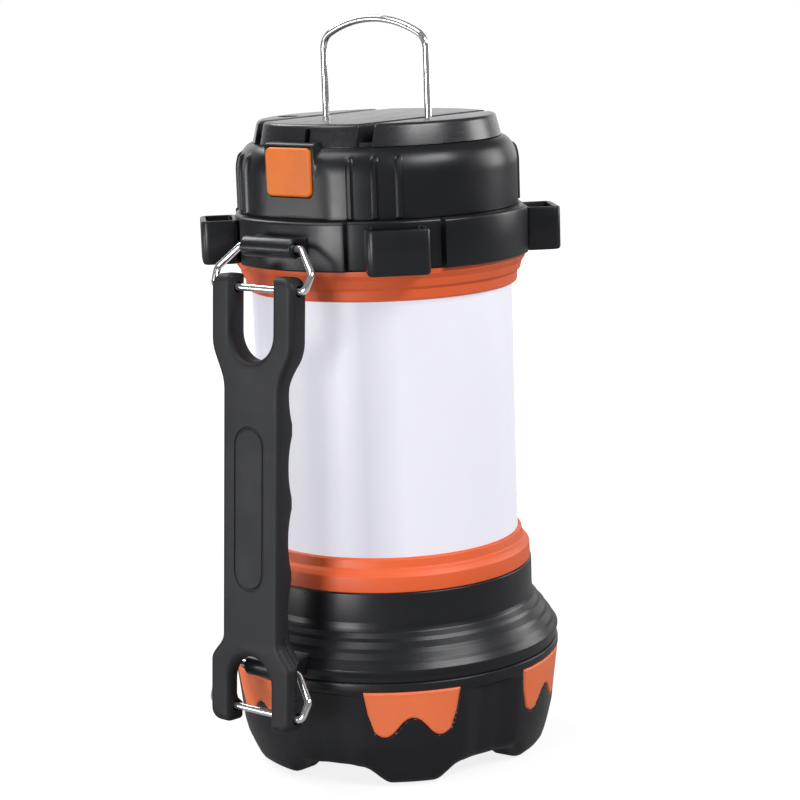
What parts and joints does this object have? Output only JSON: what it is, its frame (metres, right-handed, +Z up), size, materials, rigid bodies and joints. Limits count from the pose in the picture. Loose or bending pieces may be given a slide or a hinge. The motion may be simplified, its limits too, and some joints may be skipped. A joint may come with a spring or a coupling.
{
  "type": "lantern flashlight",
  "caption": "Upright camping and rescue lantern: frosted light tube, downward searchlight in a scalloped crown, folding wire bail and forked strap handle on wire rings.",
  "frame": {"origin": "on the lantern's axis, at the centre of the searchlight's mouth in the plane of the feet", "axes": "+Z up along the lantern's axis; the strap handle and the push button face -Y; the bail's hinge runs along X"},
  "size_m": [0.0956, 0.1116, 0.21],
  "materials": {
    "black_plastic": "satin moulded",
    "top_gloss": "high gloss",
    "orange_plastic": "satin moulded",
    "orange_patch": "satin moulded",
    "orange_button": "satin rubber",
    "clear_lens": "clear polished",
    "indicator_lens": "clear polished",
    "seal_rubber": "matte",
    "cover_rubber": "matte moulded",
    "mirror_coat": "polished metal coating",
    "led_phosphor": "phosphor gel",
    "white_board": "solder resist",
    "heat_sink_metal": "cast",
    "screw_steel": "zinc plated",
    "white_plastic": "moulded",
    "frosted_tube": "frosted, translucent",
    "inner_plastic": "moulded",
    "cell_sleeve": "shrink sleeve",
    "nickel": "bright",
    "lead_red": "insulation",
    "lead_black": "insulation",
    "circuit_board": "solder resist",
    "chrome_wire": "polished",
    "handle_rubber": "matte moulded"
  },
  "bodies": {
    "body": {"crown_bezel": "black_plastic", "head_housing": "black_plastic", "collar": "black_plastic", "dome_housing": "black_plastic", "top_plate": "top_gloss", "lower_trim_ring": "orange_plastic", "upper_trim_ring": "orange_plastic", "crown_insert_1": "orange_patch", "crown_insert_2": "orange_patch", "crown_insert_3": "orange_patch", "crown_insert_4": "orange_patch", "crown_insert_5": "orange_patch", "crown_insert_6": "orange_patch", "beam_window": "clear_lens", "charge_indicator": "indicator_lens", "window_gasket": "seal_rubber", "head_o_ring": "seal_rubber", "lower_seal": "seal_rubber", "upper_seal": "seal_rubber", "button_seal": "seal_rubber", "reflector": "mirror_coat", "spot_led": "led_phosphor", "lantern_leds": "led_phosphor", "spot_led_board": "white_board", "led_strip_1": "white_board", "led_strip_2": "white_board", "led_strip_3": "white_board", "led_strip_4": "white_board", "heat_sink": "heat_sink_metal", "heat_sink_screws": "screw_steel", "deck_screws": "screw_steel", "collar_screws": "screw_steel", "board_screws": "screw_steel", "plate_screws": "screw_steel", "lower_deck": "white_plastic", "upper_deck": "white_plastic", "led_column": "white_plastic", "diffuser": "frosted_tube", "battery_tray": "inner_plastic", "battery_clamp": "inner_plastic", "tactile_switch": "inner_plastic", "battery_cell_1": "cell_sleeve", "battery_cell_2": "cell_sleeve", "battery_links": "nickel", "charging_socket": "nickel", "lantern_wiring": "lead_red", "spot_wiring": "lead_black", "control_board": "circuit_board"},
    "bail": {"bail": "chrome_wire"},
    "button": {"button": "orange_button"},
    "port_cover": {"port_cover": "cover_rubber"},
    "upper_ring": {"upper_ring": "chrome_wire"},
    "handle": {"handle": "handle_rubber"},
    "lower_ring": {"lower_ring": "chrome_wire"}
  },
  "joints": [
    {"name": "bail_fold", "type": "hinge", "parent": "body", "child": "bail", "pos_m": [0, 0, 0.1792], "axis": [1, 0, 0], "range_deg": [-80.5, 80.5]},
    {"name": "button_press", "type": "slide", "parent": "body", "child": "button", "axis": [0, 1, 0], "range_m": [0, 0.001], "stiffness_N_per_m": 600, "springref_m": -0.0005},
    {"name": "port_cover_open", "type": "hinge", "parent": "body", "child": "port_cover", "pos_m": [0, 0.03935, 0.1581], "axis": [-1, 0, 0], "range_deg": [0, 92]},
    {"name": "ring_swing", "type": "hinge", "parent": "body", "child": "upper_ring", "pos_m": [0, -0.0462, 0.1502], "axis": [-1, 0, 0], "range_deg": [0, 90]},
    {"name": "handle_turn", "type": "hinge", "parent": "upper_ring", "child": "handle", "pos_m": [0, -0.0518, 0.1398], "axis": [-1, 0, 0], "range_deg": [-90, 0]},
    {"name": "lower_ring_swing", "type": "hinge", "parent": "body", "child": "lower_ring", "pos_m": [0, -0.0544, 0.035], "axis": [-1, 0, 0], "range_deg": [0, 90]}
  ],
  "couplings": [
    {"joint": "handle_turn", "follows": "ring_swing", "ratio": -1},
    {"joint": "lower_ring_swing", "follows": "ring_swing", "ratio": 1}
  ]
}
